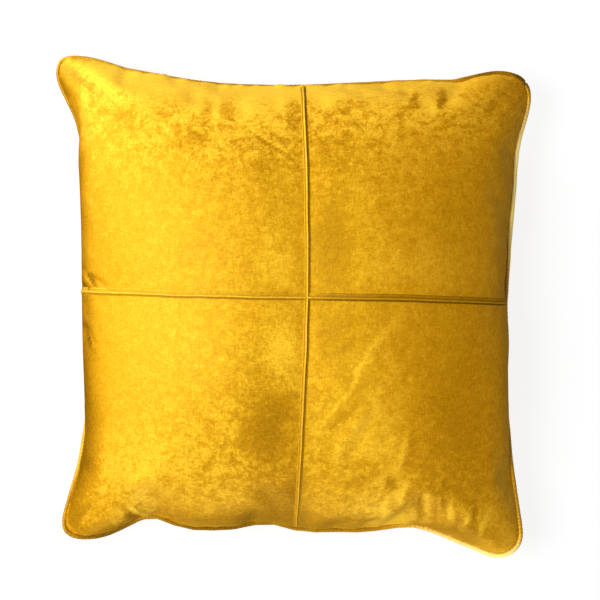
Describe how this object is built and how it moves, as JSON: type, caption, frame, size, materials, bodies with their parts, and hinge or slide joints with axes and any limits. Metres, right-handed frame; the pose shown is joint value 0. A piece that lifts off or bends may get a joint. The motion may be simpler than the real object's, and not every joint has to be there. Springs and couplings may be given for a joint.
{
  "type": "scatter cushion",
  "caption": "Square filled scatter cushion in gold velvet, lying on its back, with a pieced front, raised tucks along its crossing joins and a piped edge.",
  "frame": {"origin": "under the middle of the cushion's outline, on the surface that it lies on", "axes": "+Z out of the cushion's front, +Y to its top edge, +X to its right seen from the front"},
  "size_m": [0.4486, 0.4644, 0.1268],
  "materials": {
    "velvet": "short shiny velvet pile in gold",
    "piping_velvet": "gold velvet cut on the bias over a cord",
    "tuck_velvet": "gold velvet folded and stitched"
  },
  "bodies": {
    "root": {"cushion": "velvet", "piping": "piping_velvet", "tuck_horizontal": "tuck_velvet", "tuck_upper": "tuck_velvet", "tuck_lower": "tuck_velvet"}
  },
  "joints": []
}
